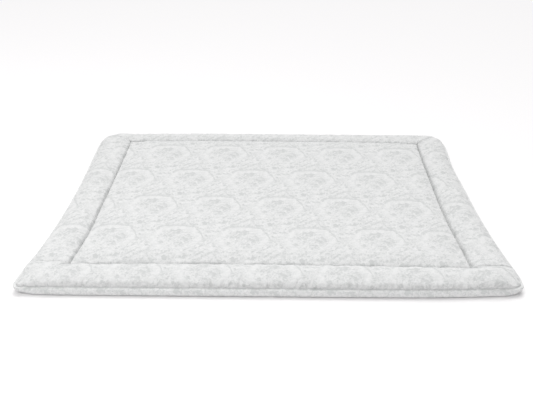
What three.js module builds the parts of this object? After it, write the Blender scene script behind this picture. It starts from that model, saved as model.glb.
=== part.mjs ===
// A padded baby play mat, lying flat: a crowned centre panel framed by four padded border
// strips, over an underside cloth that turns up round the edge to the edge seam.
// Millimetres, +Z up. X is the width, Y the depth, and the front edge is at -Y.

import * as THREE from 'three';
import { mergeVertices } from 'three/addons/utils/BufferGeometryUtils.js';

// Driving dimensions: the flat cut size, the corner rounding, the width of each border strip,
// and the heights
const mat = { width: 955, depth: 750 };
const cornerRadius = { frontLeft: 16, frontRight: 18, backRight: 50, backLeft: 42 };
const border = { front: 70, back: 66, left: 83.5, right: 77.5 };
const height = { edgeSeam: 16, innerSeam: 24, roll: 31, centre: 31, crown: 2.5 };
const cloth = { thickness: 1.6, gap: 0.3 };

// The edge below its seam is a low round bulge, and above it the border rolls up to its crest
const bulge = { reach: 6, halfHeight: 9, outerSteps: 4, innerSteps: 5 };
const roll = { reach: 34, power: 2.3, steps: 5 };
const groove = { reach: 26, power: 2.4, steps: 3 };
const endSeam = { depth: 1.4, reach: 12 };
const shoulder = { reach: 38, power: 2.6 };

// The sharp front corners lie flatter than the sides, like the corners of a pillow, and their
// underside tapers to the seam. This grows where the border is deeper than along a side.
const pillowCorner = { start: 84, full: 100, extraReach: 28, lessPower: 0.7, taper: 14, ease: 0.15 };

// How finely each piece is cut
const borderSpacing = 19;
const cornerSteps = 6;
const legSteps = 2;
const centreGrid = { spacing: 27, edgeInsets: [0, 4, 10, 20, 34, 50], baseRing: 0.82 };

// Seam puckers of the border: two unlike waves laid over each other, the longer one drifting
// in pace, so that no pucker is the twin of the next. They fade away from each seam.
const pucker = { length: 74, edge: 1.4, inner: 1.0, fade: 20, start: 5 };
const puckerMix = { long: 0.6, short: 0.4, ratio: 1.73, offset: 1.1, drift: 0.9, driftLength: 274 };

// The wadding lies a little unevenly: low swells across the whole mat
const swells = [
  { rise: 0.5, lengthX: 83, lengthY: 131, offset: 0.4 },
  { rise: 0.4, lengthX: -149, lengthY: 67, offset: 1.7 },
];

// How far the sewing draws each side in from its cut line, and each inner seam from its own,
// station by station along the depth
const sideDraw = [
  { y: -375, left: -2, leftSeam: 2, right: -1, rightSeam: 5 },
  { y: -320, left: 1, leftSeam: 3, right: -1, rightSeam: 5 },
  { y: -260, left: 8, leftSeam: 8, right: 4, rightSeam: 7 },
  { y: -190, left: 13, leftSeam: 12, right: 9, rightSeam: 10 },
  { y: -80, left: 15.5, leftSeam: 10, right: 12.5, rightSeam: 12 },
  { y: 60, left: 13, leftSeam: 8, right: 11.5, rightSeam: 8.5 },
  { y: 180, left: 7, leftSeam: 5, right: 11, rightSeam: 5 },
  { y: 260, left: 2, leftSeam: 3, right: 5, rightSeam: 2 },
  { y: 320, left: -0.5, leftSeam: 2, right: 1, rightSeam: 0 },
  { y: 375, left: -1, leftSeam: 2, right: 1, rightSeam: 0 },
];

// The same for the front and back edges, station by station along the width
const endDraw = [
  { x: -478, front: 0.5, frontSeam: -2, back: 5, backSeam: 5 },
  { x: -380, front: 0, frontSeam: -1, back: 3, backSeam: 3 },
  { x: -200, front: 0, frontSeam: 1.5, back: 2, backSeam: -1.5 },
  { x: 0, front: 0.5, frontSeam: 2, back: 2.5, backSeam: -1 },
  { x: 190, front: 0.5, frontSeam: -1, back: 3.5, backSeam: 2 },
  { x: 340, front: 2.5, frontSeam: -4, back: 5, backSeam: 8 },
  { x: 478, front: 10, frontSeam: -5, back: 8, backSeam: 10 },
];

const half = { x: mat.width / 2, y: mat.depth / 2 };
const stand = cloth.gap / 2;
const seam = {
  left: -half.x + border.left,
  right: half.x - border.right,
  front: -half.y + border.front,
  back: half.y - border.back,
};
const padBase = cloth.thickness + cloth.gap;
const quarterTurn = Math.PI / 2;
const at = (x, y) => new THREE.Vector2(x, y);

// A smooth curve through one column of a table
function curveThrough(table, placeColumn, valueColumn) {
  const places = table.map((row) => row[placeColumn]);
  const values = table.map((row) => row[valueColumn]);
  const curve = new THREE.CubicInterpolant(places, values, 1, [0]);
  return (place) => curve.evaluate(place)[0];
}

const draw = {};
for (const side of ['left', 'right', 'leftSeam', 'rightSeam']) {
  draw[side] = curveThrough(sideDraw, 'y', side);
}
for (const end of ['front', 'back', 'frontSeam', 'backSeam']) {
  draw[end] = curveThrough(endDraw, 'x', end);
}

// How far one coordinate moves towards the middle: not at all there, by one amount at the
// inner seam and by another at the cut line
function drawn(place, seamPlace, cutPlace, atSeam, atCut) {
  if (place / seamPlace <= 1) return place - Math.sign(place) * atSeam * (place / seamPlace);
  const share = (place - seamPlace) / (cutPlace - seamPlace);
  return place - Math.sign(place) * THREE.MathUtils.lerp(atSeam, atCut, share);
}

// Where a point of the flat cut mat ends up once the seams have drawn it in
function drawnIn(x, y, z) {
  const [side, seamX, cutX] = x < 0 ? ['left', seam.left, -half.x] : ['right', seam.right, half.x];
  const [end, seamY, cutY] = y < 0 ? ['front', seam.front, -half.y] : ['back', seam.back, half.y];
  return new THREE.Vector3(
    drawn(x, seamX, cutX, draw[`${side}Seam`](y), draw[side](y)),
    drawn(y, seamY, cutY, draw[`${end}Seam`](x), draw[end](x)),
    z,
  );
}

function unevenness(x, y) {
  let rise = 0;
  for (const s of swells) rise += s.rise * Math.sin(x / s.lengthX + y / s.lengthY + s.offset);
  return rise;
}

// Rays across the border. Each runs from the inner seam out to the cut line. Along a side
// they are square to it, and round a corner they fan out from the corner of the inner seam.
function sideRays(from, to) {
  const alongX = from.y === to.y;
  const count = Math.round(from.distanceTo(to) / borderSpacing);
  const rays = [];
  for (let i = 0; i <= count; i += 1) {
    const inner = from.clone().lerp(to, i / count);
    const outer = inner.clone();
    if (alongX) outer.y = Math.sign(inner.y) * half.y;
    else outer.x = Math.sign(inner.x) * half.x;
    rays.push({ inner, outer });
  }
  return rays;
}

function cornerRays(inner, radius, startAngle) {
  const sign = new THREE.Vector2(Math.sign(inner.x), Math.sign(inner.y));
  const centre = new THREE.Vector2(sign.x * (half.x - radius), sign.y * (half.y - radius));
  const onArc = (angle) => at(Math.cos(angle), Math.sin(angle)).multiplyScalar(radius).add(centre);
  const squareToSide = new THREE.Vector2(sign.x * half.x, inner.y);
  const squareToEnd = new THREE.Vector2(inner.x, sign.y * half.y);
  const startsAtSide = Math.round(Math.abs(Math.cos(startAngle))) === 1;
  const [first, last] = startsAtSide ? [squareToSide, squareToEnd] : [squareToEnd, squareToSide];
  const arcStart = onArc(startAngle);
  const arcEnd = onArc(startAngle + quarterTurn);
  const outers = [];
  for (let i = 0; i < legSteps; i += 1) outers.push(first.clone().lerp(arcStart, i / legSteps));
  for (let i = 0; i <= cornerSteps; i += 1) {
    outers.push(onArc(startAngle + (quarterTurn * i) / cornerSteps));
  }
  for (let i = 1; i <= legSteps; i += 1) outers.push(arcEnd.clone().lerp(last, i / legSteps));
  return outers.map((outer) => ({ inner, outer }));
}

// The rays of a corner on one side of its mitre seam, which runs along the middle ray. They
// stand half a gap off the mitre.
function mitreHalf(rays, isFirst) {
  const middle = (rays.length - 1) / 2;
  const kept = isFirst ? rays.slice(0, middle + 1) : rays.slice(middle);
  const along = rays[middle].outer.clone().sub(rays[middle].inner).normalize();
  const off = at(along.y, -along.x).multiplyScalar(isFirst ? stand : -stand);
  const inner = rays[middle].inner.clone().add(off);
  return kept.map((ray) => {
    const outer = ray === rays[middle] ? ray.outer.clone().add(off) : ray.outer;
    return { inner, outer };
  });
}

// The rays of one strip from end to end, counter-clockwise round the mat
function joined(...stretches) {
  const rays = [];
  for (const ray of stretches.flat()) {
    const last = rays[rays.length - 1];
    if (!last || last.outer.distanceTo(ray.outer) > 2 * cloth.gap) rays.push(ray);
  }
  return rays;
}

// The inner seam of each strip, half a gap outside the seam line. The front strip runs the
// full width, and the side strips run from its seam to the back corners, where they meet the
// back strip in mitre seams.
const innerCorner = {
  frontLeft: at(seam.left - stand, seam.front - stand),
  frontRight: at(seam.right + stand, seam.front - stand),
  backRight: at(seam.right + stand, seam.back + stand),
  backLeft: at(seam.left - stand, seam.back + stand),
};
const sideStart = {
  right: at(innerCorner.frontRight.x, seam.front + stand),
  left: at(innerCorner.frontLeft.x, seam.front + stand),
};
const backCorners = {
  right: cornerRays(innerCorner.backRight, cornerRadius.backRight, 0),
  left: cornerRays(innerCorner.backLeft, cornerRadius.backLeft, quarterTurn),
};
const strips = {
  border_front: joined(
    cornerRays(innerCorner.frontLeft, cornerRadius.frontLeft, 2 * quarterTurn),
    sideRays(innerCorner.frontLeft, innerCorner.frontRight),
    cornerRays(innerCorner.frontRight, cornerRadius.frontRight, -quarterTurn),
  ),
  border_right: joined(
    sideRays(sideStart.right, innerCorner.backRight),
    mitreHalf(backCorners.right, true),
  ),
  border_back: joined(
    mitreHalf(backCorners.right, false),
    sideRays(innerCorner.backRight, innerCorner.backLeft),
    mitreHalf(backCorners.left, true),
  ),
  border_left: joined(
    mitreHalf(backCorners.left, false),
    sideRays(innerCorner.backLeft, sideStart.left),
  ),
};

// Distance of each ray along the cut line from the strip's start
function distancesAlong(rays) {
  let run = 0;
  return rays.map((ray, i) => {
    if (i > 0) run += ray.outer.distanceTo(rays[i - 1].outer);
    return run;
  });
}

function flatness(ray) {
  const length = ray.inner.distanceTo(ray.outer);
  return THREE.MathUtils.smoothstep(length, pillowCorner.start, pillowCorner.full);
}

// The bulge below the edge seam, from the floor up to the seam: a part of an ellipse whose
// wall stands a given depth inside the outer face
const seamAngle = Math.asin((height.edgeSeam - bulge.halfHeight) / bulge.halfHeight);
const seamInset = bulge.reach * (1 - Math.cos(seamAngle));
function bulgeProfile(depth, steps) {
  const points = [];
  for (let i = 0; i <= steps; i += 1) {
    const angle = -quarterTurn + ((seamAngle + quarterTurn) * i) / steps;
    points.push({
      across: bulge.reach - (bulge.reach - depth) * Math.cos(angle),
      z: bulge.halfHeight + (bulge.halfHeight - depth) * Math.sin(angle),
    });
  }
  return points;
}

// The same at one ray, where a pillow corner tapers it
function tapered(ray, point) {
  const inset = pillowCorner.taper * flatness(ray) * Math.max(0, 1 - point.z / height.edgeSeam);
  return { across: point.across + inset, z: point.z };
}

// Top of a border strip at a distance from the edge seam and one from the inner seam
const rollBase = height.edgeSeam + cloth.gap;
function rollHeight(fromEdge, fromInner, reach, power) {
  const outward = Math.max(0, 1 - fromEdge / reach);
  const rise = (1 - outward ** power) ** (1 / power);
  const fall = Math.max(0, 1 - fromInner / groove.reach) ** groove.power;
  return rollBase + (height.roll - rollBase) * rise - (height.roll - height.innerSeam) * fall;
}

function puckerWave(run) {
  const turn = (2 * Math.PI * run) / pucker.length;
  const drift = puckerMix.drift * Math.sin((2 * Math.PI * run) / puckerMix.driftLength);
  const short = puckerMix.short * Math.sin(puckerMix.ratio * turn + puckerMix.offset);
  return puckerMix.long * Math.sin(turn + drift) + short;
}

// How far a pucker stands up: most beside a seam, and not at all on it
function puckerHeight(fromEdge, fromInner) {
  const held = Math.min(1, fromEdge / pucker.start, fromInner / pucker.start);
  const edge = pucker.edge * Math.exp(-fromEdge / pucker.fade);
  return held * (edge + pucker.inner * Math.exp(-fromInner / pucker.fade));
}

// The closed section of a border strip along one ray: up over the roll from the edge seam,
// down to the inner seam, down its wall, and back under along the underside cloth
function borderSection(ray, run, stripLength) {
  const length = ray.inner.distanceTo(ray.outer);
  const reach = roll.reach + pillowCorner.extraReach * flatness(ray);
  const power = roll.power - pillowCorner.lessPower * flatness(ray);
  const wave = puckerWave(run);
  const fromStripEnd = Math.min(run, stripLength - run);
  const dip = endSeam.depth * Math.max(0, 1 - fromStripEnd / endSeam.reach) ** 2;
  const topPoint = (across) => {
    const fromEdge = Math.max(0, across - seamInset);
    const fromInner = Math.max(0, length - across);
    const loose = Math.min(1, fromEdge / reach) * Math.min(1, fromInner / groove.reach);
    const place = ray.outer.clone().lerp(ray.inner, across / length);
    const soft = (unevenness(place.x, place.y) - dip) * loose + wave * puckerHeight(fromEdge, fromInner);
    return { across, z: rollHeight(fromEdge, fromInner, reach, power) + soft };
  };
  const crestStart = seamInset + reach;
  const crestEnd = length - groove.reach;
  const section = [];
  for (let i = 0; i <= roll.steps; i += 1) {
    const share = 1 - Math.cos((quarterTurn * i) / roll.steps);
    section.push(topPoint(seamInset + reach * share));
  }
  section.push(topPoint((crestStart + crestEnd) / 2));
  for (let i = 0; i <= groove.steps; i += 1) {
    const share = Math.sin((quarterTurn * i) / groove.steps);
    section.push(topPoint(crestEnd + groove.reach * share));
  }
  section.push({ across: length, z: padBase });
  const padDepth = padBase + pillowCorner.ease * flatness(ray);
  section.push(...bulgeProfile(padDepth, bulge.innerSteps).map((point) => tapered(ray, point)));
  section.push({ across: seamInset + padBase, z: rollBase });
  return section;
}

function placed(ray, point) {
  const length = ray.inner.distanceTo(ray.outer);
  const plan = ray.outer.clone().lerp(ray.inner, point.across / length);
  return drawnIn(plan.x, plan.y, point.z);
}

// A closed mesh from triangles: shared corners are merged, and a triangle that collapses
// where rays share a corner is dropped
function closedGeometry(points, triangles) {
  const geometry = new THREE.BufferGeometry().setFromPoints(points);
  geometry.setIndex(triangles.flat());
  const merged = mergeVertices(geometry, 1e-3);
  const index = Array.from(merged.getIndex().array);
  const kept = [];
  for (let i = 0; i < index.length; i += 3) {
    const [a, b, c] = index.slice(i, i + 3);
    if (a !== b && b !== c && c !== a) kept.push(a, b, c);
  }
  merged.setIndex(kept);
  merged.computeVertexNormals();
  return merged;
}

// The triangles between two rows of points, with the outer face to the right of the way
// from the first row to the second
function band(firstRow, secondRow, closed) {
  const triangles = [];
  const count = closed ? firstRow.length : firstRow.length - 1;
  for (let i = 0; i < count; i += 1) {
    const next = (i + 1) % firstRow.length;
    triangles.push([firstRow[i], secondRow[i], secondRow[next]]);
    triangles.push([firstRow[i], secondRow[next], firstRow[next]]);
  }
  return triangles;
}

const rowOf = (start, size) => Array.from({ length: size }, (_, i) => start + i);

// A border strip: its sections one after another, with a flat cap at each end
function stripGeometry(rays) {
  const runs = distancesAlong(rays);
  const stripLength = runs[runs.length - 1];
  const sections = rays.map((ray, i) => borderSection(ray, runs[i], stripLength));
  const size = sections[0].length;
  const points = sections.flatMap((section, i) => section.map((point) => placed(rays[i], point)));
  const triangles = [];
  for (let s = 0; s < sections.length - 1; s += 1) {
    triangles.push(...band(rowOf(s * size, size), rowOf((s + 1) * size, size), true));
  }
  const capOf = (s) => {
    const outline = sections[s].map((point) => at(point.across, point.z));
    return THREE.ShapeUtils.triangulateShape(outline, []).map((face) => face.map((i) => i + s * size));
  };
  triangles.push(...capOf(0).map(([a, b, c]) => [a, c, b]));
  triangles.push(...capOf(sections.length - 1));
  return closedGeometry(points, triangles);
}

// The centre panel: rows and columns closer together at the seams, a pillowed top, a wall
// down to its base, and the base closed by one inner ring and a middle point
function centreStations(from, to) {
  const insets = centreGrid.edgeInsets;
  const reach = insets[insets.length - 1];
  const inside = to - from - 2 * reach;
  const count = Math.round(inside / centreGrid.spacing);
  const middle = Array.from({ length: count - 1 }, (_, i) => from + reach + (inside * (i + 1)) / count);
  return [...insets.map((d) => from + d), ...middle, ...insets.map((d) => to - d).reverse()];
}

const centreEdge = {
  left: seam.left + stand,
  right: seam.right - stand,
  front: seam.front + stand,
  back: seam.back - stand,
};

function centreHeight(x, y) {
  const fromSide = Math.min(x - centreEdge.left, centreEdge.right - x);
  const fromEnd = Math.min(y - centreEdge.front, centreEdge.back - y);
  const rise = (distance) => 1 - Math.max(0, 1 - distance / shoulder.reach) ** shoulder.power;
  const pillow = rise(fromSide) * rise(fromEnd);
  const middle = (1 - (x / half.x) ** 2) * (1 - (y / half.y) ** 2);
  const filled = height.centre - height.innerSeam + height.crown * middle + unevenness(x, y);
  return height.innerSeam + pillow * filled;
}

function centreGeometry() {
  const columns = centreStations(centreEdge.left, centreEdge.right);
  const rows = centreStations(centreEdge.front, centreEdge.back);
  const points = [];
  for (const y of rows) {
    for (const x of columns) points.push(drawnIn(x, y, centreHeight(x, y)));
  }
  const rowAt = (r) => rowOf(r * columns.length, columns.length);
  const triangles = [];
  for (let r = 0; r < rows.length - 1; r += 1) triangles.push(...band(rowAt(r + 1), rowAt(r), false));

  const lastRow = rows.length - 1;
  const lastColumn = columns.length - 1;
  const index = (r, c) => r * columns.length + c;
  const rim = [];
  for (let c = 0; c < lastColumn; c += 1) rim.push(index(0, c));
  for (let r = 0; r < lastRow; r += 1) rim.push(index(r, lastColumn));
  for (let c = lastColumn; c > 0; c -= 1) rim.push(index(lastRow, c));
  for (let r = lastRow; r > 0; r -= 1) rim.push(index(r, 0));

  const foot = rowOf(points.length, rim.length);
  for (const i of rim) points.push(new THREE.Vector3(points[i].x, points[i].y, padBase));
  const inner = rowOf(points.length, rim.length);
  for (const i of rim) {
    const { x, y } = points[i];
    points.push(new THREE.Vector3(x * centreGrid.baseRing, y * centreGrid.baseRing, padBase));
  }
  const middle = points.length;
  points.push(new THREE.Vector3(0, 0, padBase));
  triangles.push(...band(rim, foot, true), ...band(foot, inner, true));
  triangles.push(...band(inner, inner.map(() => middle), true));
  return closedGeometry(points, triangles);
}

// The underside cloth: flat on the floor, its rim turned up along the bulge to the edge seam.
// Its rings run round all the strips' rays, from the middle below to the middle above.
function undersideGeometry() {
  const rays = joined(strips.border_front, strips.border_right, strips.border_back, strips.border_left);
  const toInner = (ray, z) => ({ across: ray.inner.distanceTo(ray.outer), z });
  const outerFace = bulgeProfile(0, bulge.outerSteps);
  const innerFace = bulgeProfile(cloth.thickness, bulge.innerSteps).reverse();
  const rings = [
    (ray) => toInner(ray, 0),
    ...outerFace.map((point) => (ray) => tapered(ray, point)),
    () => ({ across: seamInset + cloth.thickness, z: height.edgeSeam }),
    ...innerFace.map((point) => (ray) => tapered(ray, point)),
    (ray) => toInner(ray, cloth.thickness),
  ];
  const points = rings.flatMap((ring) => rays.map((ray) => placed(ray, ring(ray))));
  const ringAt = (r) => rowOf(r * rays.length, rays.length);
  const triangles = [];
  for (let r = 0; r < rings.length - 1; r += 1) triangles.push(...band(ringAt(r + 1), ringAt(r), true));
  const below = points.length;
  points.push(new THREE.Vector3(0, 0, 0), new THREE.Vector3(0, 0, cloth.thickness));
  const above = below + 1;
  const lastRing = ringAt(rings.length - 1);
  triangles.push(...band(ringAt(0), rays.map(() => below), true));
  triangles.push(...band(rays.map(() => above), lastRing, true));
  return closedGeometry(points, triangles);
}

// The same printed cotton above and below, a shade darker on the underside
function cotton(color) {
  return new THREE.MeshStandardMaterial({ color, roughness: 0.9, metalness: 0 });
}
const topColour = 0xe9ebea;
const undersideColour = 0xe2e4e3;

function piece(name, geometry, material) {
  const mesh = new THREE.Mesh(geometry, material);
  mesh.name = name;
  return mesh;
}

const playMat = new THREE.Group();
playMat.add(piece('centre_panel', centreGeometry(), cotton(topColour)));
for (const [name, rays] of Object.entries(strips)) {
  playMat.add(piece(name, stripGeometry(rays), cotton(topColour)));
}
playMat.add(piece('underside', undersideGeometry(), cotton(undersideColour)));

// The origin is at the middle of the floor below the mat
const extent = new THREE.Box3().setFromObject(playMat);
const middle = extent.getCenter(new THREE.Vector3());
playMat.position.set(-middle.x, -middle.y, -extent.min.z);
playMat.updateMatrixWorld(true);

export default playMat;
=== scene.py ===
import math

import bmesh
import bpy
import numpy as np
from mathutils import Matrix, Vector


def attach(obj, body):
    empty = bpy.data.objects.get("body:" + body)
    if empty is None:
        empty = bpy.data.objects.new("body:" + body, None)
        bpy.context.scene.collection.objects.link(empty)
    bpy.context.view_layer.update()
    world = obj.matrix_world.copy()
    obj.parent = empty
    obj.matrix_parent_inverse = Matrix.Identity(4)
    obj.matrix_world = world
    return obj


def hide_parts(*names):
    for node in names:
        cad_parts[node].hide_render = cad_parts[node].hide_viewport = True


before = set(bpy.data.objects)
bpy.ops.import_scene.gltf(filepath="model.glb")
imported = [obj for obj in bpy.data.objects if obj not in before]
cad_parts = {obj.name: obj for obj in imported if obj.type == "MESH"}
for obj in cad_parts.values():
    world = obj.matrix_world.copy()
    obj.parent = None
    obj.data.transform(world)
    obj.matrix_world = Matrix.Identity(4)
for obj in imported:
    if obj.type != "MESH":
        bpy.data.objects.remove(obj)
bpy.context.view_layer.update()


# THE UNDERSIDE CLOTH
# One sheet of the printed cotton, flat on the floor. Its rim turns up round the wadding in a
# low soft roll and is sewn to the border strips at the edge seam, 15 mm above the floor.
# Sizes here are in millimetres on the flat cut mat, and become metres in the mesh.

half_width, half_depth = 477.5, 375.0
corner_radius = {"front_left": 16.0, "front_right": 18.0, "back_right": 50.0, "back_left": 42.0}
left_seam, right_seam, front_seam, back_seam = -394.0, 400.0, -305.0, 309.0
seam_gap = 0.15
mat_middle = (0.38, -1.03)

# How far the sewing draws the mat in: y, left edge, left seam, right edge, right seam
side_draw = np.array([
    (-375, -2, 2, -1, 5), (-320, 1, 3, -1, 5), (-260, 8, 8, 4, 7), (-190, 13, 12, 9, 10),
    (-80, 15.5, 10, 12.5, 12), (60, 13, 8, 11.5, 8.5), (180, 7, 5, 11, 5), (260, 2, 3, 5, 2),
    (320, -0.5, 2, 1, 0), (375, -1, 2, 1, 0),
])
# The same along the width: x, front edge, front seam, back edge, back seam
end_draw = np.array([
    (-478, 0.5, -2, 5, 5), (-380, 0, -1, 3, 3), (-200, 0, 1.5, 2, -1.5), (0, 0.5, 2, 2.5, -1),
    (190, 0.5, -1, 3.5, 2), (340, 2.5, -4, 5, 8), (478, 10, -5, 8, 10),
])


def smooth_column(table, column, place):
    """One column of a table, read between its rows along a smooth curve."""
    at, value = table[:, 0], table[:, column]
    slope = np.gradient(value, at)
    i = np.clip(np.searchsorted(at, place) - 1, 0, len(at) - 2)
    span = at[i + 1] - at[i]
    t = np.clip((place - at[i]) / span, 0, 1)
    rest = 1 - t
    start = value[i] * (1 + 2 * t) * rest**2 + span * slope[i] * t * rest**2
    return start + value[i + 1] * t**2 * (3 - 2 * t) - span * slope[i + 1] * t**2 * rest


def pulled(place, seam, cut, at_seam, at_cut):
    """A coordinate moved towards the middle, by at_seam on the seam and at_cut on the cut line."""
    share = (np.abs(place) - np.abs(seam)) / (np.abs(cut) - np.abs(seam))
    inside = at_seam * np.minimum(np.abs(place / seam), 1)
    return place - np.sign(place) * np.where(share > 0, at_seam + (at_cut - at_seam) * share, inside)


def drawn_in(plan):
    """Where points of the flat cut mat lie once the seams have drawn it in."""
    x, y = plan[..., 0], plan[..., 1]
    left, front = x < 0, y < 0
    side_cut = np.where(left, smooth_column(side_draw, 1, y), smooth_column(side_draw, 3, y))
    side_seam = np.where(left, smooth_column(side_draw, 2, y), smooth_column(side_draw, 4, y))
    end_cut = np.where(front, smooth_column(end_draw, 1, x), smooth_column(end_draw, 3, x))
    end_seam = np.where(front, smooth_column(end_draw, 2, x), smooth_column(end_draw, 4, x))
    return np.stack([
        pulled(x, np.where(left, left_seam, right_seam), half_width, side_seam, side_cut),
        pulled(y, np.where(front, front_seam, back_seam), half_depth, end_seam, end_cut),
    ], axis=-1) - np.array(mat_middle)


def stations(start, end, spacing):
    steps = max(1, round(float(np.hypot(*(np.array(end) - start))) / spacing))
    return np.array(start) + (np.array(end) - start) * np.linspace(0, 1, steps + 1)[:, None]


def side_rays(start, end, spacing):
    """Lines across the border from the inner seam to the cut line, square to a straight side."""
    inner = stations(start, end, spacing)
    outer = inner.copy()
    across = 1 if start[1] == end[1] else 0
    outer[:, across] = math.copysign((half_width, half_depth)[across], start[across])
    return np.stack([inner, outer], axis=1)


def corner_rays(inner, radius, first_angle, spacing):
    """The same round a corner, fanning out from the corner of the inner seam. Also the number of
    the ray along its middle, where a mitre seam runs."""
    sx, sy = math.copysign(1, inner[0]), math.copysign(1, inner[1])
    steps = 2 * max(5, round(radius * 0.785 / spacing))
    turn = np.radians(np.linspace(first_angle, first_angle + 90, steps + 1))
    arc = np.stack([sx * (half_width - radius) + radius * np.cos(turn),
                    sy * (half_depth - radius) + radius * np.sin(turn)], axis=1)
    on_side, on_end = (sx * half_width, inner[1]), (inner[0], sy * half_depth)
    first, last = (on_side, on_end) if first_angle % 180 == 0 else (on_end, on_side)
    leg = stations(first, arc[0], spacing)[:-1]
    outer = np.concatenate([leg, arc, stations(arc[-1], last, spacing)[1:]])
    return np.stack([np.broadcast_to(inner, outer.shape), outer], axis=1), len(leg) + steps // 2


def mitre_half(corner, is_first):
    """The rays of a corner on one side of its mitre seam, standing half a gap off it."""
    rays, middle = corner
    along = (rays[middle, 1] - rays[middle, 0]) / np.hypot(*(rays[middle, 1] - rays[middle, 0]))
    off = np.array([along[1], -along[0]]) * (seam_gap if is_first else -seam_gap)
    kept = (rays[:middle + 1] if is_first else rays[middle:]).copy()
    kept[:, 0] += off
    kept[-1 if is_first else 0, 1] += off
    return kept


def border_rays(spacing):
    """The rays of each border strip, counter-clockwise round the mat."""
    left, right = left_seam - seam_gap, right_seam + seam_gap
    front, back = front_seam - seam_gap, back_seam + seam_gap
    side_foot = front_seam + seam_gap
    back_right = corner_rays((right, back), corner_radius["back_right"], 0, spacing)
    back_left = corner_rays((left, back), corner_radius["back_left"], 90, spacing)
    return {
        "border_front": np.concatenate([
            corner_rays((left, front), corner_radius["front_left"], 180, spacing)[0][:-1],
            side_rays((left, front), (right, front), spacing),
            corner_rays((right, front), corner_radius["front_right"], 270, spacing)[0][1:],
        ]),
        "border_right": np.concatenate([
            side_rays((right, side_foot), (right, back), spacing), mitre_half(back_right, True)[1:],
        ]),
        "border_back": np.concatenate([
            mitre_half(back_right, False)[:-1],
            side_rays((right, back), (left, back), spacing),
            mitre_half(back_left, True)[1:],
        ]),
        "border_left": np.concatenate([
            mitre_half(back_left, False)[:-1], side_rays((left, back), (left, side_foot), spacing),
        ]),
    }


def pillow_corner(rays):
    """0 along the sides and 1 at the sharp front corners, which lie flatter than the sides and
    taper below to their seam."""
    share = np.clip((np.hypot(*(rays[:, 1] - rays[:, 0]).T) - 80) / 20, 0, 1)
    return share**2 * (3 - 2 * share)


seam_height, rim_reach, rim_bulge, rim_middle = 15.1, 8.0, 4.6, 7.0
cloth_thickness = 1.6
seam_inset, tuck, corner_taper = 0.6, 3.2, 8.0


def rim_profile(depth, steps):
    """The turned-up rim, as (distance in from the outer face, height), from the floor to the seam.
    It stands nearly upright, and its top tucks in under the border strip."""
    turn = np.linspace(-math.pi / 2, math.pi / 2, steps + 1)
    sharp = np.sign(np.sin(turn)) * np.abs(np.sin(turn)) ** 0.8
    rounding = np.abs(np.cos(turn))
    across = rim_reach + depth - (rim_reach + rim_bulge) * rounding**0.42
    top_reach = seam_inset + tuck
    across = np.where(turn > 0, top_reach + depth - (top_reach + rim_bulge) * rounding**0.4, across)
    height = rim_middle + (rim_middle - depth) * sharp
    height = np.where(turn > 0, rim_middle + (seam_height - rim_middle) * sharp, height)
    return np.stack([across, height], axis=1)


def pucker_wave(run, length=74.0):
    """Two unlike waves along a seam, the longer one drifting in pace, so no two puckers match."""
    turn = 2 * math.pi * run / length
    drifting = np.sin(turn + 0.9 * np.sin(2 * math.pi * run / 274))
    return 0.6 * drifting + 0.4 * np.sin(1.73 * turn + 1.1)


def new_mesh(name, points, faces, cloth_places, sewn_places=None):
    """A mesh in metres from points in millimetres. Each point keeps its place on the flat printed
    cloth, for the print and the weave, and its place among the seams."""
    mesh = bpy.data.meshes.new(name)
    mesh.from_pydata((np.asarray(points) * 0.001).tolist(), [], faces)
    place = mesh.attributes.new("cloth_place", "FLOAT_VECTOR", "POINT")
    flat = np.zeros((len(points), 3), np.float32)
    flat[:, :2] = np.asarray(cloth_places)
    place.data.foreach_set("vector", flat.ravel())
    if sewn_places is not None:
        sewn = mesh.attributes.new("sewn_place", "FLOAT_VECTOR", "POINT")
        sewn.data.foreach_set("vector", np.asarray(sewn_places, np.float32).ravel())
    mesh.polygons.foreach_set("use_smooth", [True] * len(mesh.polygons))
    mesh.update()
    piece = bpy.data.objects.new(name, mesh)
    bpy.context.scene.collection.objects.link(piece)
    return piece


def bands(rows, count, closed_along, closed_across):
    """Four-sided faces between rows of points, counted row by row."""
    faces = []
    for r in range(rows if closed_along else rows - 1):
        a, b = r * count, (r + 1) % rows * count
        for i in range(count if closed_across else count - 1):
            j = (i + 1) % count
            faces.append((a + i, b + i, b + j, a + j))
    return faces


def merge_close(piece, distance=0.00002):
    """Joins points that fall together, where rays share a corner of the inner seam."""
    build = bmesh.new()
    build.from_mesh(piece.data)
    bmesh.ops.remove_doubles(build, verts=build.verts, dist=distance)
    bmesh.ops.dissolve_degenerate(build, dist=distance / 4, edges=build.edges)
    bmesh.ops.recalc_face_normals(build, faces=build.faces)
    build.to_mesh(piece.data)
    build.free()
    piece.data.polygons.foreach_set("use_smooth", [True] * len(piece.data.polygons))


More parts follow.
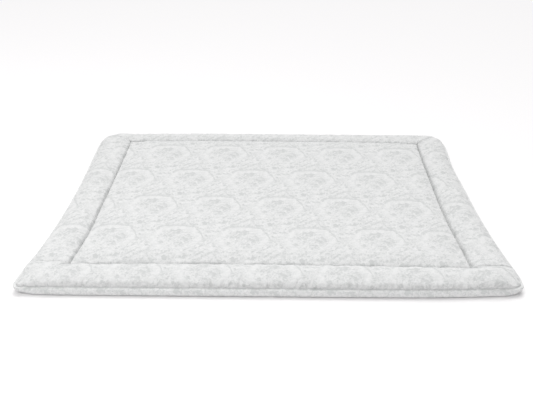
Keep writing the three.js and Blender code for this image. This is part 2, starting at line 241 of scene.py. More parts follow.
def underside_cloth():
    strips = border_rays(5.0)
    rays = np.concatenate(list(strips.values()))
    step = np.hypot(*(rays[:, 1] - np.roll(rays[:, 1], 1, axis=0)).T)
    rays = rays[step > 0.7]
    inner, outer = rays[:, 0], rays[:, 1]
    run = np.cumsum(np.hypot(*(outer - np.roll(outer, 1, axis=0)).T))
    outward = (outer - inner) / np.hypot(*(outer - inner).T)[:, None]
    taper = corner_taper * pillow_corner(rays)
    soft, tight = pucker_wave(run, 61.0), pucker_wave(run + 40, 23.0)
    points, places = [], []

    def ring(plan, height, place):
        points.append(np.concatenate([drawn_in(plan), np.full((len(rays), 1), height)], axis=1))
        places.append(place)

    outer_face, inner_face = rim_profile(0.0, 18), rim_profile(cloth_thickness, 18)[::-1]
    ring(inner, 0.0, inner)
    for face in (outer_face, inner_face):
        lengths = np.hypot(*np.diff(face, axis=0).T)
        going = np.concatenate([[0], np.cumsum(lengths)])
        going = going if face is outer_face else going[-1] - going
        for (across, height), along in zip(face, going):
            loose = math.sin(math.pi * min(1, height / seam_height))
            slack = loose * (0.5 * soft + 0.4 * tight) - taper * (1 - height / seam_height)
            plan = outer - outward * (across - slack)[:, None]
            ring(plan, height, outer + outward * (along - rim_reach))
    ring(inner, cloth_thickness, inner)
    count = len(rays)
    faces = bands(len(points), count, False, True)
    faces.append(tuple(range(count))[::-1])
    faces.append(tuple(range((len(points) - 1) * count, len(points) * count)))
    return new_mesh("underside_cloth", np.concatenate(points), faces, np.concatenate(places))


underside = underside_cloth()
merge_close(underside)


class Drawing:
    """A number worked out by shader nodes, so that a print can be written as plain arithmetic."""

    def __init__(self, tree, source):
        self.tree, self.source = tree, source

    def node(self, operation, *values, clamp=False):
        node = self.tree.nodes.new("ShaderNodeMath")
        node.operation, node.use_clamp = operation, clamp
        for socket, value in zip(node.inputs, (self, *values)):
            if isinstance(value, Drawing):
                self.tree.links.new(value.source, socket)
            else:
                socket.default_value = value
        return Drawing(self.tree, node.outputs[0])

    def __add__(self, other):
        return self.node("ADD", other)

    def __sub__(self, other):
        return self.node("SUBTRACT", other)

    def __mul__(self, other):
        return self.node("MULTIPLY", other)

    def __truediv__(self, other):
        return self.node("DIVIDE", other)

    def __rsub__(self, other):
        return (self * -1.0).node("ADD", other)

    def __abs__(self):
        return self.node("ABSOLUTE")

    __radd__, __rmul__ = __add__, __mul__

    def more(self, other):
        return self.node("MAXIMUM", other)

    def less(self, other):
        return self.node("MINIMUM", other)

    def sine(self):
        return self.node("SINE")

    def root(self):
        return self.node("SQRT")

    def within(self, low, high):
        """0 below low and 1 above high, or the other way round, with a smooth change between."""
        node = self.tree.nodes.new("ShaderNodeMapRange")
        node.interpolation_type = "SMOOTHSTEP"
        self.tree.links.new(self.source, node.inputs["Value"])
        low, high, start, end = (low, high, 0.0, 1.0) if low < high else (high, low, 1.0, 0.0)
        for name, value in (("From Min", low), ("From Max", high), ("To Min", start), ("To Max", end)):
            node.inputs[name].default_value = value
        return Drawing(self.tree, node.outputs["Result"])

    def wrapped(self, period):
        """Distance from the nearest whole number of periods, signed."""
        return self - (self / period).node("ROUND") * period


def effect(name, inputs, outputs):
    """An empty shader node group with these inputs, each (name, kind, value), and outputs."""
    tree = bpy.data.node_groups.new(name, "ShaderNodeTree")
    for label, kind, value in inputs:
        socket = tree.interface.new_socket(label, in_out="INPUT", socket_type="NodeSocket" + kind)
        socket.default_value = value
    for label, kind in outputs:
        tree.interface.new_socket(label, in_out="OUTPUT", socket_type="NodeSocket" + kind)
    return tree, tree.nodes.new("NodeGroupInput"), tree.nodes.new("NodeGroupOutput")


def length_of(a, b):
    return (a * a + b * b).root()


def vector_of(tree, *parts):
    node = tree.nodes.new("ShaderNodeCombineXYZ")
    for socket, part in zip(node.inputs, parts):
        if isinstance(part, Drawing):
            tree.links.new(part.source, socket)
        else:
            socket.default_value = part
    return node.outputs[0]


def noise(tree, place, scale, detail=2.0, roughness=0.5):
    """Soft noise around 0, from about -0.5 to 0.5."""
    node = tree.nodes.new("ShaderNodeTexNoise")
    node.inputs["Scale"].default_value = scale
    node.inputs["Detail"].default_value = detail
    node.inputs["Roughness"].default_value = roughness
    tree.links.new(place, node.inputs["Vector"])
    return Drawing(tree, node.outputs["Fac"]) - 0.5


# The print: rows of flower medallions a half step apart, with small ruled blocks, blossoms and
# leafy sprays between. Ink is 0 on the bare cotton and 1 where the grey is strongest.
repeat_width, row_height = 144.2, 142.3


def floral_print():
    tree, given, result = effect(
        "medallion_print", [("Cloth place", "Vector", (0, 0, 0))], [("Ink", "Float")]
    )
    place = given.outputs["Cloth place"]
    split = tree.nodes.new("ShaderNodeSeparateXYZ")
    tree.links.new(place, split.inputs[0])
    x, y = Drawing(tree, split.outputs[0]), Drawing(tree, split.outputs[1])

    # The nearest medallion of the two sets of rows, and the place seen from its middle
    even_u, even_v = x.wrapped(repeat_width), y.wrapped(2 * row_height)
    odd_u, odd_v = (x + repeat_width / 2).wrapped(repeat_width), (y + row_height).wrapped(2 * row_height)
    even = (abs(even_u) * (2 / repeat_width) + abs(even_v) / row_height).node("LESS_THAN", 1.0)
    u = odd_u + (even_u - odd_u) * even
    v = odd_v + (even_v - odd_v) * even
    local = vector_of(tree, u, v, 0.0)
    wobble, wobble_v = noise(tree, local, 0.07, 2.0), noise(tree, vector_of(tree, v, u, 31.0), 0.07, 2.0)
    u, v = u + wobble * 8.0, v + wobble_v * 8.0
    side = abs(u)

    def blossoms(size, petals, layers):
        """Small scalloped flowers about that far apart, in rings of petals."""
        cells = tree.nodes.new("ShaderNodeTexVoronoi")
        cells.voronoi_dimensions = "2D"
        cells.inputs["Scale"].default_value = 1 / size
        cells.inputs["Randomness"].default_value = 0.85
        tree.links.new(vector_of(tree, u, v, 0.0), cells.inputs["Vector"])
        middle = tree.nodes.new("ShaderNodeSeparateXYZ")
        tree.links.new(cells.outputs["Position"], middle.inputs[0])
        du, dv = u - Drawing(tree, middle.outputs[0]), v - Drawing(tree, middle.outputs[1])
        away = length_of(du, dv) / size * ((du.node("ARCTAN2", dv) * petals).sine() * 0.2 + 1.0)
        return (away * layers + 1.2).sine() * 0.5 + 0.5

    def leafage(long, tall, drift):
        """Leaves of about that size, turning this way and that, each with a light vein."""
        wander = noise(tree, vector_of(tree, u, v, drift), 0.055, 2.0)
        along = u * (math.pi / long) + wander * 13.0 + drift
        across = v * (math.pi / tall) - u * 0.06 + wander * 9.0
        leaf = along.sine() * across.sine()
        return leaf.within(-0.12, 0.16) * (1.0 - 0.4 * abs(leaf - 0.7).within(0.14, 0.05))

    def rosette(at_u, at_v, size, petals):
        """One darker round flower."""
        du, dv = u - at_u, v - at_v
        away = length_of(du, dv) / size * ((du.node("ARCTAN2", dv) * petals).sine() * 0.2 + 1.0)
        return away.within(1.2, 0.45)

    def thicket(at_u, at_v, wide, tall):
        """A soft patch where the sprays grow thick."""
        return length_of((u - at_u) * (1 / wide), (v - at_v) * (1 / tall)).within(1.1, 0.35)

    # The ring, part six-sided and part round, nearly bare. Below it the sprays grow over it.
    low_v = v + 4.0
    six_sided = (abs(low_v) / 52.0).more((side + abs(low_v) * 0.4) / 59.0)
    ring = six_sided * 0.55 + length_of(u / 57.0, low_v / 53.0) * 0.45
    overgrown = v.within(-22.0, -44.0) * abs(u - 3.0).within(42.0, 26.0)
    inside, outside = ring.within(0.8, 0.69), ring.within(0.9, 0.98)
    bare_ring = ring.within(0.7, 0.8) * ring.within(1.0, 0.92) * (1.0 - overgrown)
    outline = abs(ring - 1.03).within(0.05, 0.02) * (v + u * 0.45).within(12.0, 26.0)
    arch = abs(ring - 1.07).within(0.1, 0.04) * v.within(26.0, 44.0)

    # Drawn thick in some places and thin in others
    clumps = noise(tree, local, 0.05, 2.0, 0.5).within(-0.08, 0.08)
    bits = noise(tree, vector_of(tree, v, u, 7.0), 0.11, 2.0).within(-0.06, 0.06)

    # The bouquet: round flowers bunched together among small blossoms
    small, large = blossoms(11.0, 4.0, 9.0), blossoms(21.0, 5.0, 13.0)
    flowers = rosette(27.0, -2.0, 14.0, 5.0).more(rosette(2.0, 25.0, 15.0, 6.0))
    flowers = flowers.more(rosette(-29.0, -20.0, 9.0, 5.0)).more(rosette(9.0, -24.0, 10.0, 5.0))
    flowers = flowers.more(rosette(-14.0, 0.0, 12.0, 6.0) * 0.7)
    filling_in = (small * 0.35 + large * 0.2 + 0.18) * (0.4 + 0.3 * clumps + 0.6 * bits)
    bouquet = (flowers * (0.16 + 0.2 * bits) + filling_in) * inside

    # Outside the ring: leafy sprays, thicker in places, with darker single flowers
    thick = thicket(-15.0, -78.0, 22.0, 13.0).more(thicket(10.0, 112.0, 15.0, 12.0))
    thick = thick.more(thicket(27.0, -74.0, 9.0, 9.0)).more(thicket(0.0, -108.0, 20.0, 8.0) * 0.5)
    thin = thicket(6.0, -92.0, 22.0, 8.0).more(thicket(-9.0, 99.0, 12.0, 10.0))
    thin = thin.more(thicket(-40.0, 48.0, 11.0, 12.0)).more(thicket(0.0, -125.0, 16.0, 8.0))
    leaves = leafage(9.0, 7.0, 4.1) * 0.3 + leafage(19.0, 12.0, 0.7) * 0.5 + small * 0.2
    sprays = leaves * (0.15 + 0.3 * clumps + 0.5 * bits) + 0.12 + thick * (0.1 + 0.4 * bits)
    single = rosette(-20.0, -42.0, 9.0, 5.0).more(rosette(4.0, -50.0, 10.0, 6.0))
    single = single.more(rosette(25.0, -42.0, 8.0, 5.0)).more(rosette(1.0, 80.0, 10.0, 5.0))
    single = single.more(rosette(18.0, 76.0, 7.0, 5.0)).more(rosette(-26.0, 84.0, 8.0, 5.0))
    single = single * (0.28 + 0.25 * bits)
    pale = noise(tree, vector_of(tree, u, v, 21.0), 0.09, 1.0).within(0.02, 0.12)
    garden = (sprays * (1.0 - 0.45 * thin) * (1.15 - 0.9 * pale)).more(single)
    garden = garden * outside.more(overgrown * ring.within(0.72, 0.86))

    # The small ruled block between two medallions of a row
    block_u, foot_v = (repeat_width / 2) - side, row_height - abs(v)
    nearness = (block_u.more(abs(v) * 0.8)).less(side.more(foot_v * 0.8))
    block = nearness.within(15.0, 7.0) * (0.33 + 0.15 * (v * 1.5).sine() + 0.15 * bits)
    block_edge = abs(nearness - 16.5).within(4.5, 1.0)

    # Uneven inking: the fine speckle of a worn plate, and paler and darker patches
    speckle, patch = noise(tree, place, 0.27, 3.0, 0.7), noise(tree, place, 0.035, 2.0)
    drawn = bouquet.more(garden).more(block) * (1.0 - 0.4 * block_edge)
    drawn = drawn.more(outline * 0.65).more(arch * (0.55 + 0.2 * bits)).more(bits * 0.2 + 0.1)
    ink = drawn * (1.15 + patch * 0.5) + 0.05 + speckle * (1.85 - 0.9 * bare_ring)
    tree.links.new(ink.node("MULTIPLY", 1.0, clamp=True).source, result.inputs["Ink"])
    return tree


def plain_weave():
    """The over and under of a plain weave, and the soft unevenness of washed cotton."""
    tree, given, result = effect(
        "plain_weave",
        [("Cloth place", "Vector", (0, 0, 0)), ("Thread spacing", "Float", 0.5)],
        [("Weave", "Float"), ("Crumple", "Float"), ("Thread tone", "Float")],
    )
    split = tree.nodes.new("ShaderNodeSeparateXYZ")
    tree.links.new(given.outputs["Cloth place"], split.inputs[0])
    spacing = Drawing(tree, given.outputs["Thread spacing"])
    x, y = Drawing(tree, split.outputs[0]), Drawing(tree, split.outputs[1])
    weave = (x / spacing * math.pi).sine() * (y / spacing * math.pi).sine()
    crumple = noise(tree, given.outputs["Cloth place"], 0.045, 3.0, 0.55)
    stretch = noise(tree, vector_of(tree, x * 0.2, y * 1.6, 0.0), 0.5, 2.0)
    stretch_up = noise(tree, vector_of(tree, x * 1.6, y * 0.2, 9.0), 0.5, 2.0)
    for name, field in (("Weave", weave), ("Crumple", crumple), ("Thread tone", stretch + stretch_up)):
        tree.links.new(field.source, result.inputs[name])
    return tree


medallion_print, weave_effect = floral_print(), plain_weave()


def cotton(name, bare, inked, shift=(0.0, 0.0)):
    """Printed cotton: bare and inked are its two colours, and shift moves the print on it."""
    material = bpy.data.materials.new(name)
    material.use_nodes = True
    tree = material.node_tree
    tree.nodes.clear()
    place = tree.nodes.new("ShaderNodeAttribute")
    place.attribute_name = "cloth_place"
    moved = tree.nodes.new("ShaderNodeVectorMath")
    moved.operation = "ADD"
    tree.links.new(place.outputs["Vector"], moved.inputs[0])
    moved.inputs[1].default_value = (*shift, 0.0)
    printed, woven = tree.nodes.new("ShaderNodeGroup"), tree.nodes.new("ShaderNodeGroup")
    printed.node_tree, woven.node_tree = medallion_print, weave_effect
    tree.links.new(moved.outputs[0], printed.inputs["Cloth place"])
    tree.links.new(place.outputs["Vector"], woven.inputs["Cloth place"])
    woven.inputs["Thread spacing"].default_value = 0.55
    ink = Drawing(tree, printed.outputs["Ink"])
    tone = Drawing(tree, woven.outputs["Thread tone"])
    amount = (ink + tone * 0.1).node("MINIMUM", 1.0, clamp=True)
    colour = tree.nodes.new("ShaderNodeMix")
    colour.data_type = "RGBA"
    tree.links.new(amount.source, colour.inputs["Factor"])
    colour.inputs["A"].default_value = (*bare, 1.0)
    colour.inputs["B"].default_value = (*inked, 1.0)
    crumple = tree.nodes.new("ShaderNodeBump")
    crumple.inputs["Strength"].default_value = 0.5
    crumple.inputs["Distance"].default_value = 0.004
    tree.links.new(woven.outputs["Crumple"], crumple.inputs["Height"])
    threads = tree.nodes.new("ShaderNodeBump")
    threads.inputs["Strength"].default_value = 0.25
    threads.inputs["Distance"].default_value = 0.0001
    tree.links.new(woven.outputs["Weave"], threads.inputs["Height"])
    tree.links.new(crumple.outputs["Normal"], threads.inputs["Normal"])
    cloth = tree.nodes.new("ShaderNodeBsdfPrincipled")
    cloth.inputs["Roughness"].default_value = 0.92
    cloth.inputs["Specular IOR Level"].default_value = 0.2
    cloth.inputs["Sheen Weight"].default_value = 0.03
    cloth.inputs["Sheen Roughness"].default_value = 0.6
    tree.links.new(colour.outputs["Result"], cloth.inputs["Base Color"])
    tree.links.new(threads.outputs["Normal"], cloth.inputs["Normal"])
    surface = tree.nodes.new("ShaderNodeOutputMaterial")
    tree.links.new(cloth.outputs["BSDF"], surface.inputs["Surface"])
    return material


# Painted light: the underside's two colours are the same printed cotton as the strips, painted lighter
# so that its front band below the edge seam reads as lit.
bare_with_painted_light, inked_with_painted_light, base_shift = (0.82, 0.822, 0.82), (0.64, 0.653, 0.648), (10.0, 28.0)
underside.data.materials.append(cotton("underside_cotton", bare_with_painted_light, inked_with_painted_light, base_shift))
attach(underside, "root")
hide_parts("underside")


# THE BORDER STRIPS
# Four strips of the same printed cotton over polyester wadding. The front strip runs the full
# width, and the side strips run from its seam to the back corners, where they meet the back
# strip in mitre seams. Each is sewn to the underside cloth at its edge and to the panel inside.

inner_seam_height, roll_top = 24.0, 31.0
roll_reach, roll_power, groove_reach, groove_power = 34.0, 2.3, 26.0, 2.4
corner_extra_reach, corner_less_power, seam_crowding = 28.0, 0.7, 0.115


def on_the_print(plan):
    """A place on the flat printed cloth for a place on the mat. The cloth was cut a little off
    the grain, and pulled slightly wider towards the back."""
    x, y = plan[..., 0], plan[..., 1]
    pull = 1 + 0.000197 * y
    x, y = x / pull, y / pull
    return np.stack([x - 0.024 * y - 21.3, y + 0.024 * x - 195.9], axis=-1)


def unevenness(plan):
    """Low swells where the wadding lies unevenly."""
    x, y = plan[..., 0], plan[..., 1]
    return 0.5 * np.sin(x / 83 + y / 131 + 0.4) + 0.4 * np.sin(x / -149 + y / 67 + 1.7)


def roll_height(from_edge, from_inner, reach, power):
    outward = np.maximum(0, 1 - from_edge / reach)
    rise = (1 - outward**power) ** (1 / power)
    fall = np.maximum(0, 1 - from_inner / groove_reach) ** groove_power
    base = seam_height + 2 * seam_gap
    return base + (roll_top - base) * rise - (roll_top - inner_seam_height) * fall


def shallower(from_inner):
    """How much less the back seam is drawn down than the other inner seams."""
    return 2.9 * np.maximum(0, 1 - from_inner / groove_reach) ** groove_power


def tucks(run, from_seam, seed, spacing, depth, reach, width=2.4):
    """Small puckers where a seam gathers the cloth: each runs a short way from the seam, a
    little aslant, and the fullness between two of them stands up."""
    draw = np.random.default_rng(seed)
    total, height = float(run.max()), np.zeros(np.broadcast(run, from_seam).shape)
    place = float(run.min()) + draw.uniform(0, spacing)
    while place < total:
        deep, far = depth * draw.uniform(0.3, 1.0), reach * draw.uniform(0.5, 1.3)
        wide = width * draw.uniform(0.6, 1.5)
        lean = draw.uniform(-0.5, 0.5)
        off = run - place - lean * from_seam
        fold = 0.7 * np.exp(-((off / (2.4 * wide)) ** 2)) - np.exp(-((off / wide) ** 2))
        height += deep * fold * np.exp(-((from_seam / far) ** 1.5))
        place += spacing * draw.uniform(0.35, 1.7)
    return height


def clear_of_ends(run):
    """0 on the ends of a strip and 1 between them. The ends of the front strip are the short
    legs round the front corners, where the cloth lies smooth."""
    return np.clip((np.minimum(run, run.max() - run) - 60) / 25, 0, 1)


def vectors(mesh, name):
    """A vector kept on each point, one row a point: its place, its normal or an attribute."""
    kept = {"place": mesh.vertices, "normal": mesh.vertex_normals}.get(name)
    kept = mesh.attributes[name].data if kept is None else kept
    flat = np.zeros(len(mesh.vertices) * 3, np.float32)
    kept.foreach_get("co" if name == "place" else "vector", flat)
    return flat.reshape(-1, 3).astype(float)


def fill_out(piece, from_seam, give, pressure=4.0, frames=20):
    """The filling pushes the cloth out between its seams, where it is gathered: the cloth is cut
    a little too large there, so it puckers. No point moves further than give, in metres."""
    scene = bpy.context.scene
    mesh = piece.data
    sewn = piece.vertex_groups.new(name="sewn")
    gathered = piece.vertex_groups.new(name="gathered")
    for i, distance in enumerate(from_seam.tolist()):
        sewn.add([i], 1.0 if distance <= 0 else 0.03 + 0.5 * math.exp(-distance / 1.5), "REPLACE")
        gathered.add([i], math.exp(-max(0.0, distance) / 14.0), "REPLACE")
    filling = piece.modifiers.new("filling", "CLOTH")
    cloth = filling.settings
    cloth.quality, cloth.mass = 5, 0.3
    cloth.tension_stiffness = cloth.compression_stiffness = 15
    cloth.shear_stiffness, cloth.bending_stiffness = 5, 0.05
    cloth.vertex_group_mass, cloth.pin_stiffness = "sewn", 1.0
    cloth.vertex_group_shrink = "gathered"
    cloth.shrink_min, cloth.shrink_max = -0.004, -0.06
    cloth.use_pressure, cloth.uniform_pressure_force = True, pressure
    cloth.effector_weights.gravity = 0
    filling.point_cache.frame_start, filling.point_cache.frame_end = 1, frames
    for at_frame in range(1, frames + 1):
        scene.frame_set(at_frame)
    before = vectors(mesh, "place")
    full = piece.evaluated_get(bpy.context.evaluated_depsgraph_get()).data
    move = vectors(full, "place") - before
    size = np.maximum(np.linalg.norm(move, axis=1, keepdims=True), 1e-9)
    move *= give * np.tanh(size / give) / size
    piece.modifiers.remove(filling)
    mesh.vertices.foreach_set("co", (before + move).ravel())
    piece.vertex_groups.clear()
    mesh.update()
    scene.frame_set(1)


def made_finer(piece):
    """Each face cut in four."""
    cut = piece.modifiers.new("finer", "SUBSURF")
    cut.subdivision_type, cut.levels = "SIMPLE", 1
    state = bpy.context.evaluated_depsgraph_get()
    finer = bpy.data.meshes.new_from_object(
        piece.evaluated_get(state), preserve_all_data_layers=True, depsgraph=state
    )
    finer.name = piece.data.name
    piece.data = finer
    piece.modifiers.remove(cut)


def pressed(piece, lift, out):
    """Moves each point up by lift and out of the surface by out, both in millimetres."""
    mesh = piece.data
    place = vectors(mesh, "place") + vectors(mesh, "normal") * out[:, None] * 0.001
    place[:, 2] += lift * 0.001
    mesh.vertices.foreach_set("co", place.ravel())
    mesh.update()


def crease(run, from_seam, depth, width, broken):
    """How far the stitches pull the cloth down along a seam: broken is how unevenly, 0 to 1."""
    pull = 0.5 + 0.5 * np.sin(run / 17.3 + 1.9 * np.sin(run / 41.0))
    return depth * (1 - broken * pull) * np.exp(-((np.maximum(0, from_seam) / width) ** 1.4))


def border_strip(name, rays, steps):
    inner, outer = rays[:, None, 0], rays[:, None, 1]
    length = np.hypot(*np.moveaxis(outer - inner, -1, 0))
    hop = np.hypot(*np.diff(rays[:, 1], axis=0).T)
    run = np.concatenate([[0], np.cumsum(hop)])[:, None]
    flat_corner = pillow_corner(rays)[:, None]
    reach = roll_reach + corner_extra_reach * flat_corner
    power = roll_power - corner_less_power * flat_corner
    seam_start = seam_inset + tuck
    share = np.linspace(0, 1, steps + 1)[None, :]
    share = share - seam_crowding * np.sin(2 * math.pi * share)
    across = seam_start + (length - seam_start) * share
    from_edge, from_inner = across - seam_start, length - across

    plan = outer + (inner - outer) * (across / length)[..., None]
    loose = np.minimum(1, from_edge / reach) * np.minimum(1, from_inner / groove_reach)
    from_end = np.minimum(run, run.max() - run)
    end_dip, pucker_depth = (0.5, 0.4) if name == "border_back_cotton" else (1.4, 1.4)
    dip = end_dip * np.maximum(0, 1 - from_end / 6) ** 2 * np.minimum(1, from_edge / 50)
    held = np.minimum(1, np.minimum(from_edge, from_inner) / 5)
    edge_pucker = pucker_depth * np.exp(-from_edge / 20) * held
    inner_pucker = np.exp(-from_inner / 20) * held
    height = roll_height(from_edge, from_inner, reach, power) + (unevenness(plan) - dip) * loose
    height += pucker_wave(run) * edge_pucker + pucker_wave(run + 130, 59.0) * inner_pucker
    if name == "border_back_cotton":
        height += shallower(from_inner) * np.minimum(1, from_end / 50)

    # The filling pushes the strip out over the edge seam, and wide puckers scallop that bulge
    bulge = 3.0 * (1 - 0.2 * flat_corner) * (from_edge / 5) * np.exp(1 - from_edge / 5)
    deep = {"border_front_cotton": 4.4, "border_back_cotton": 0.2}.get(name, 0.8)
    scallop = tucks(run, from_edge, 50 + len(rays), 21.0, deep, 15.0, 4.6) * np.minimum(1, from_edge / 2)
    scallop = scallop * clear_of_ends(run)
    spread = bulge + 0.5 * scallop * np.exp(-from_edge / 9)
    height += scallop * np.minimum(1, from_edge / 5)
    outward = (outer - inner) / length[..., None]
    top = drawn_in(plan + outward * spread[..., None])
    top = np.concatenate([top, height[..., None]], axis=-1)

    # The wall down the inner seam, and the flat base on the underside cloth
    base_height = cloth_thickness + 2 * seam_gap
    rim = rim_profile(base_height, 8)[::-1]
    rim = rim[rim[:, 1] < seam_height - 1.5]
    lower = [np.concatenate([drawn_in(inner[:, 0]), np.full((len(rays), 1), base_height)], axis=1)]
    for depth, up in reversed(rim):
        inset = depth + corner_taper * flat_corner * (1 - up / seam_height)
        at = outer[:, 0] - outward[:, 0] * inset
        lower.append(np.concatenate([drawn_in(at), np.full((len(rays), 1), up)], axis=1))
    lower = np.stack(lower, axis=1)
    points = np.concatenate([top, lower], axis=1)
    going = np.cumsum(np.linalg.norm(np.diff(top[:, ::-1], axis=1), axis=2), axis=1)
    stretched = np.concatenate([np.zeros((len(rays), 1)), going], axis=1)[:, ::-1]
    on_cloth = inner + outward * stretched[..., None]
    lower_cloth = np.repeat(inner, lower.shape[1], axis=1)
    places = np.concatenate([on_the_print(on_cloth), on_the_print(lower_cloth)], axis=1)
    rows, count = points.shape[:2]
    faces = bands(rows, count, False, True)
    faces.append(tuple(range(count)))
    faces.append(tuple(range((rows - 1) * count, rows * count))[::-1])
    sewn = np.zeros((rows, count, 3))
    sewn[..., 0] = run
    sewn[:, :steps + 1, 1], sewn[:, :steps + 1, 2] = from_edge, from_inner
    return new_mesh(name, points.reshape(-1, 3), faces, places.reshape(-1, 2), sewn.reshape(-1, 3))


def strip_seams(strip):
    """Of each point of a strip: the distance along it, from the edge seam and from the inner
    seam, and 1 on its top and 0 below."""
    run, from_edge, from_inner = vectors(strip.data, "sewn_place").T
    return run, from_edge, from_inner, np.minimum(1, (from_edge + from_inner) / 20)


bare_cotton, inked_cotton = (0.788, 0.789, 0.788), (0.592, 0.602, 0.599)
strip_shift = {
    "border_front": (0.0, 0.0), "border_right": (14.0, 6.0),
    "border_back": (30.0, -20.0), "border_left": (-46.0, 4.0),
}
crease_depth = {"border_front": 5.5, "border_right": 7.0, "border_back": 1.4, "border_left": 5.0}
for seed, (name, rays) in enumerate(border_rays(4.5).items()):
    strip = border_strip(name + "_cotton", rays, 26)
    merge_close(strip)
    run, from_edge, from_inner, on_top = strip_seams(strip)
    from_end = np.minimum(run, run.max() - run)
    give = 0.0018 if name == "border_back" else 0.003
    fill_out(strip, np.minimum(np.minimum(from_edge, from_inner), from_end) * (on_top > 0.3), give)
    made_finer(strip)

    # The stitches: a sharp crease along the inner seam, broken up where it is gathered, and
    # small close puckers along both seams
    run, from_edge, from_inner, on_top = strip_seams(strip)
    broken = 0.7 if name in ("border_front", "border_back") else 0.15
    lift = -crease(run, from_inner, crease_depth[name], 2.1, broken)
    from_back = np.abs(vectors(strip.data, "place")[:, 1] * 1000 - back_seam)
    lift *= 1 - 0.85 * np.exp(-((from_back / 20) ** 2)) * (name != "border_back")
    edge_depth = 0.9 + 6.1 * clear_of_ends(run) * (name == "border_front")
    out = tucks(run, from_edge, seed + 50, 12.0, edge_depth, 10.0, 3.0) * np.minimum(1, from_edge / 1.5)
    out -= crease(run + 40, from_edge - 1, 1.4, 2.4, 0.8) * np.minimum(1, from_edge)
    out += tucks(run, from_inner, seed + 3, 13.0, 1.5, 10.0, 2.2) * np.minimum(1, from_inner / 2.5)
    if name == "border_back":
        gather = np.exp(-(((run - 110) / 75) ** 2))
        out += tucks(run, from_inner, 71, 10.0, 2.0, 34.0, 2.6) * gather * np.minimum(1, from_inner / 4)
    pressed(strip, lift * on_top, out * on_top)

    strip.data.materials.append(cotton(name + "_print", bare_cotton, inked_cotton, strip_shift[name]))
    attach(strip, "root")
    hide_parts(name)


# THE CENTRE PANEL
# The printed cotton field over the same wadding, one filled pad. Its crown is low, its shoulders
# fall to the seam all round, and the sewing draws its sides in.

shoulder_reach, shoulder_power, centre_height, crown = 38.0, 2.6, 28.8, 2.5
panel_low = (left_seam + seam_gap, front_seam + seam_gap)
panel_high = (right_seam - seam_gap, back_seam - seam_gap)


def panel_places(low, high, spacing):
    """Places across the panel, closer together beside the seams."""
    edge = np.array([0, 0.8, 1.8, 3.2, 5, 7.2, 10, 13.5, 18, 23])
    count = round((high - low - 2 * 28) / spacing)
    middle = np.linspace(low + 28, high - 28, count + 1)
    return np.concatenate([low + edge, middle, (high - edge)[::-1]])


def centre_panel():
    x = panel_places(panel_low[0], panel_high[0], 6.5)
    y = panel_places(panel_low[1], panel_high[1], 6.5)
    plan = np.stack(np.meshgrid(x, y), axis=-1)
    px, py = plan[..., 0], plan[..., 1]
    from_left, from_right = px - panel_low[0], panel_high[0] - px
    from_front, from_back = py - panel_low[1], panel_high[1] - py
    from_side, from_end = np.minimum(from_left, from_right), np.minimum(from_front, from_back)

    def rise(distance):
        return 1 - np.maximum(0, 1 - distance / shoulder_reach) ** shoulder_power

    pillow = rise(from_side) * rise(from_end)
    middle = (1 - (px / half_width) ** 2) * (1 - (py / half_depth) ** 2)
    height = inner_seam_height + pillow * (
        centre_height - inner_seam_height + crown * middle + unevenness(plan)
    )
    height += shallower(from_back) * np.minimum(1, from_side / 50)
    nearest = np.minimum(from_side, from_end)
    points = np.concatenate([drawn_in(plan), height[..., None]], axis=-1)
    rows, count = points.shape[:2]
    faces = [face[::-1] for face in bands(rows, count, False, False)]
    rim = (
        [(0, c) for c in range(count - 1)] + [(r, count - 1) for r in range(rows - 1)]
        + [(rows - 1, c) for c in range(count - 1, 0, -1)] + [(r, 0) for r in range(rows - 1, 0, -1)]
    )
    rim = np.array([r * count + c for r, c in rim])
    flat = points.reshape(-1, 3)
    foot = flat[rim].copy()
    foot[:, 2] = cloth_thickness + 2 * seam_gap
    everything = np.concatenate([flat, foot])
    start = len(flat)
    for i in range(len(rim)):
        j = (i + 1) % len(rim)
        faces.append((int(rim[i]), start + i, start + j, int(rim[j])))
    faces.append(tuple(range(start, start + len(rim)))[::-1])
    places = on_the_print(flat[:, :2])
    sewn = np.stack([px, py, nearest], axis=-1).reshape(-1, 3)
    foot_sewn = np.concatenate([sewn[rim, :2], np.full((len(rim), 1), -1.0)], axis=1)
    return new_mesh(
        "centre_panel_cotton", everything, faces, np.concatenate([places, places[rim]]),
        np.concatenate([sewn, foot_sewn]),
    )


panel = centre_panel()
merge_close(panel)
fill_out(panel, np.maximum(0, vectors(panel.data, "sewn_place")[:, 2]), 0.003)
made_finer(panel)

px, py, nearest = vectors(panel.data, "sewn_place").T
lift, out = np.zeros(len(px)), np.zeros(len(px))
for seed, run, from_seam, depth, broken in (
    (21, py, px - panel_low[0], 7.0, 0.3), (22, py, panel_high[0] - px, 7.0, 0.0),
    (23, px, py - panel_low[1], 5.5, 0.75), (24, px, panel_high[1] - py, 1.4, 0.7),
):
    lift = np.minimum(lift, -crease(run, from_seam, depth, 2.1, broken))
    out += tucks(run, from_seam, seed, 15.0, 1.3, 9.0, 2.4) * np.minimum(1, from_seam / 2.5)
side_seam = np.minimum(px - panel_low[0], panel_high[0] - px)
lift *= 1 - 0.85 * np.exp(-((side_seam**2 + (panel_high[1] - py) ** 2) / 20**2))
on_top = np.clip(nearest + 1, 0, 1)
pressed(panel, lift * on_top, out * on_top * np.clip(nearest, 0, 1))
panel.data.materials.append(cotton("centre_panel_print", bare_cotton, inked_cotton))
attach(panel, "root")
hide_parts("centre_panel")


# THE STUDIO
# A plain near-white floor that runs on behind the mat, an even pale sky, a broad soft light
# from high behind, a panel light high in front on the left, and a low one in front.

bpy.ops.mesh.primitive_plane_add(size=40, location=(0, 0, -0.0002))
floor = bpy.context.object
floor.name = "floor"
paper = bpy.data.materials.new("white_floor")
paper.use_nodes = True
paper_surface = paper.node_tree.nodes["Principled BSDF"]
paper_surface.inputs["Base Color"].default_value = (0.955, 0.944, 0.949, 1)
paper_surface.inputs["Roughness"].default_value = 1.0
paper_surface.inputs["Specular IOR Level"].default_value = 0.0
floor.data.materials.append(paper)

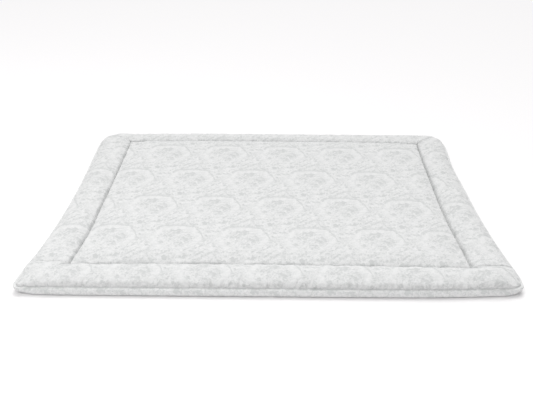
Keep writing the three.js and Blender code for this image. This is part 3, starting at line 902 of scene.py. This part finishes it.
sky = bpy.data.worlds.new("studio_white")
sky.use_nodes = True
sky.node_tree.nodes["Background"].inputs["Color"].default_value = (1, 1, 1, 1)
sky.node_tree.nodes["Background"].inputs["Strength"].default_value = 0.44
bpy.context.scene.world = sky

lamp = bpy.data.lights.new("soft_light", "SUN")
lamp.energy, lamp.angle = 1.88, math.radians(46)
soft_light = bpy.data.objects.new("soft_light", lamp)
soft_light.rotation_euler = Vector((-0.08, -0.96, -1.6)).to_track_quat("-Z", "Y").to_euler()
bpy.context.scene.collection.objects.link(soft_light)

side_lamp = bpy.data.lights.new("side_panel", "AREA")
side_lamp.shape, side_lamp.size, side_lamp.energy = "DISK", 1.4, 15.0
side_panel = bpy.data.objects.new("side_panel", side_lamp)
side_panel.location = (-1.0, -1.15, 2.1)
side_panel.rotation_euler = Vector((0.75, 1.0, -2.0)).to_track_quat("-Z", "Y").to_euler()
bpy.context.scene.collection.objects.link(side_panel)

front_lamp = bpy.data.lights.new("front_fill", "AREA")
front_lamp.shape, front_lamp.size, front_lamp.size_y = "ELLIPSE", 2.0, 0.45
front_lamp.energy = 5.3
front_fill = bpy.data.objects.new("front_fill", front_lamp)
front_fill.location = (0.1, -2.4, 0.3)
front_fill.rotation_euler = Vector((0, 1, -0.1)).to_track_quat("-Z", "Y").to_euler()
bpy.context.scene.collection.objects.link(front_fill)

focal_length, picture_width = 656.8, 533  # in pixels
lens = bpy.data.cameras.new("camera")
lens.sensor_width, lens.lens = 36.0, focal_length / picture_width * 36.0
lens.clip_start, lens.clip_end = 0.05, 100
camera = bpy.data.objects.new("camera", lens)
turn = Matrix.Rotation(math.radians(1.15), 4, "Z") @ Matrix.Rotation(math.radians(90 - 27.78), 4, "X")
turn = turn @ Matrix.Rotation(math.radians(-0.15), 4, "Z")
camera.matrix_world = Matrix.Translation((0.0188, -1.3757, 0.7315)) @ turn
bpy.context.scene.collection.objects.link(camera)
bpy.context.scene.camera = camera
bpy.context.scene.view_settings.view_transform = "Standard"
